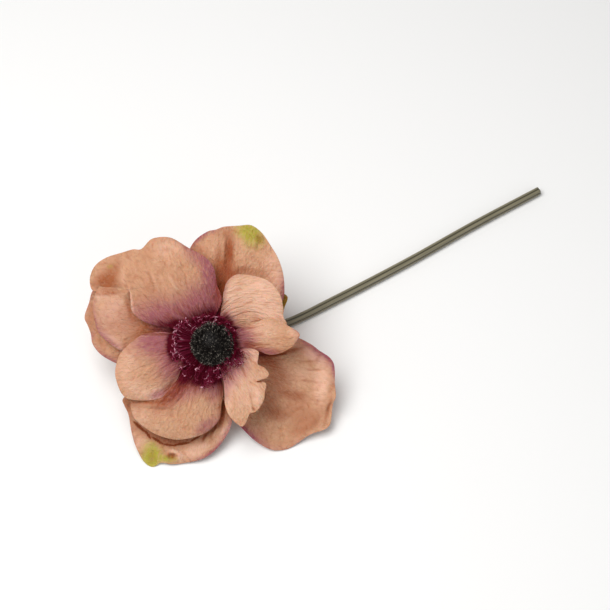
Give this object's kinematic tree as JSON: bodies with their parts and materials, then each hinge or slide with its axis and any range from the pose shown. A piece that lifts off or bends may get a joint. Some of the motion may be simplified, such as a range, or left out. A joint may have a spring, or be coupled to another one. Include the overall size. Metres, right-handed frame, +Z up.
{
  "type": "anemone flower",
  "caption": "Cut anemone flower lying on a surface, with a dark bristly disc, a ring of stamens, petals in layers and a bent ribbed stem.",
  "frame": {"origin": "on the surface that the flower lies on, under the middle of its bounding box", "axes": "+X runs along the stem, away from the bloom, and +Z is up; the bloom's face looks up at 60 degrees, towards -Y and a little towards -X"},
  "size_m": [0.2132, 0.098, 0.0531],
  "materials": {
    "petals": "matte",
    "disc": "matte",
    "stamens": "matte",
    "stem": "satin"
  },
  "bodies": {
    "root": {"stem": "stem", "disc": "disc", "stamens": "stamens", "petal_inner_upper_left": "petals", "petal_inner_upper_right": "petals", "petal_inner_right": "petals", "petal_inner_lower_right": "petals", "petal_inner_lower": "petals", "petal_inner_left": "petals", "petal_outer_top": "petals", "petal_outer_left_front": "petals", "petal_outer_left_back": "petals", "petal_outer_lower": "petals", "petal_outer_lower_right": "petals", "petal_outer_right": "petals"}
  },
  "joints": []
}
